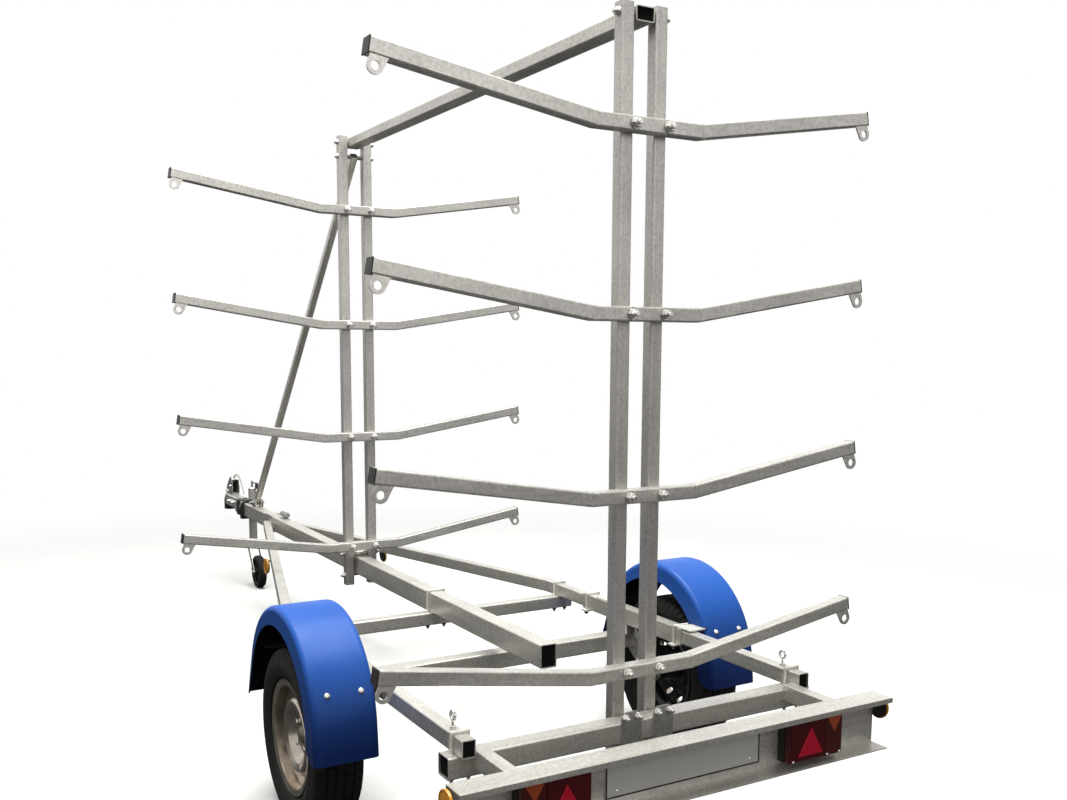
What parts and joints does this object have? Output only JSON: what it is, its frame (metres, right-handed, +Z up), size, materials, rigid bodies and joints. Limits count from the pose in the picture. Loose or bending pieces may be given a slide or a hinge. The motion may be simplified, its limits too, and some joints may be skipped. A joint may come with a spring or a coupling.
{
  "type": "boat trailer",
  "caption": "Single-axle trailer for canoes and kayaks: tube chassis with two masts carrying tiers of upswept arms, blue mudguards, a jockey wheel and a rear light bar.",
  "frame": {"origin": "on the floor below the middle of the trailer's length and width, as it stands parked on its wheels and jockey wheel", "axes": "+X the trailer's left side, -Y forward to the coupling, +Z up"},
  "size_m": [1.64, 4.873, 2.411],
  "materials": {
    "galvanised": "hot dip galvanised, satin with a faint mottle",
    "zinc": "bright zinc plated",
    "guard_blue": "moulded, matt",
    "tyre": "black rubber",
    "jockey_rubber": "solid black rubber",
    "wheel_silver": "silver paint",
    "hub_dark": "dark grey",
    "black_plastic": "moulded",
    "lamp_red": "clear red lens",
    "reflector_red": "bright red reflector",
    "black_steel": "black, satin",
    "amber": "reflector",
    "plate_white": "blank plate"
  },
  "bodies": {
    "chassis": {"main_beam": "galvanised", "side_rail_left": "galvanised", "side_rail_right": "galvanised", "front_cross_member": "galvanised", "rear_cross_beam": "galvanised", "drawbar_bracket": "galvanised", "axle_tube": "galvanised", "axle_brackets": "galvanised", "torsion_arm_left": "galvanised", "torsion_arm_right": "galvanised", "chassis_u_bolts": "zinc", "rail_eye_bolts": "zinc", "mudguard_left": "guard_blue", "mudguard_right": "guard_blue", "guard_brackets": "galvanised", "coupling_head": "zinc", "coupling_shell": "zinc", "coupling_handle": "black_steel", "jockey_clamp": "black_steel", "beam_collar": "black_steel", "jockey_tube": "galvanised", "jockey_crank": "black_steel", "light_bar": "galvanised", "light_bar_stubs": "galvanised", "lamp_left": "lamp_red", "lamp_right": "lamp_red", "lamp_bases": "black_plastic", "amber_lenses": "amber", "lamp_triangles": "reflector_red", "number_plate": "plate_white", "side_markers": "amber", "marker_backs": "black_plastic", "front_mast_posts": "galvanised", "rear_mast_posts": "galvanised", "mast_clamps": "zinc", "rack_arm_front_1": "galvanised", "rack_arm_front_2": "galvanised", "rack_arm_front_3": "galvanised", "rack_arm_front_4": "galvanised", "rack_arm_rear_1": "galvanised", "rack_arm_rear_2": "galvanised", "rack_arm_rear_3": "galvanised", "rack_arm_rear_4": "galvanised", "arm_caps": "black_plastic", "tie_down_eyes": "zinc", "ridge_beam": "galvanised", "brace_tube": "galvanised", "brace_foot": "galvanised"},
    "wheel_left": {"rim_left": "wheel_silver", "tyre_left": "tyre", "hub_left": "hub_dark"},
    "wheel_right": {"rim_right": "wheel_silver", "tyre_right": "tyre", "hub_right": "hub_dark"},
    "jockey_swivel": {"jockey_fork": "galvanised"},
    "jockey_roller": {"jockey_wheel": "jockey_rubber"}
  },
  "joints": [
    {"name": "wheel_left_spin", "type": "hinge", "parent": "chassis", "child": "wheel_left", "pos_m": [0.72, 1.3765, 0.28], "axis": [1, 0, 0], "continuous": true},
    {"name": "wheel_right_spin", "type": "hinge", "parent": "chassis", "child": "wheel_right", "pos_m": [-0.72, 1.3765, 0.28], "axis": [1, 0, 0], "continuous": true},
    {"name": "jockey_turn", "type": "hinge", "parent": "chassis", "child": "jockey_swivel", "pos_m": [-0.056, -2.0785, 0.25], "axis": [0, 0, 1], "continuous": true},
    {"name": "jockey_roll", "type": "hinge", "parent": "jockey_swivel", "child": "jockey_roller", "pos_m": [-0.056, -1.9685, 0.1], "axis": [1, 0, 0], "continuous": true}
  ]
}
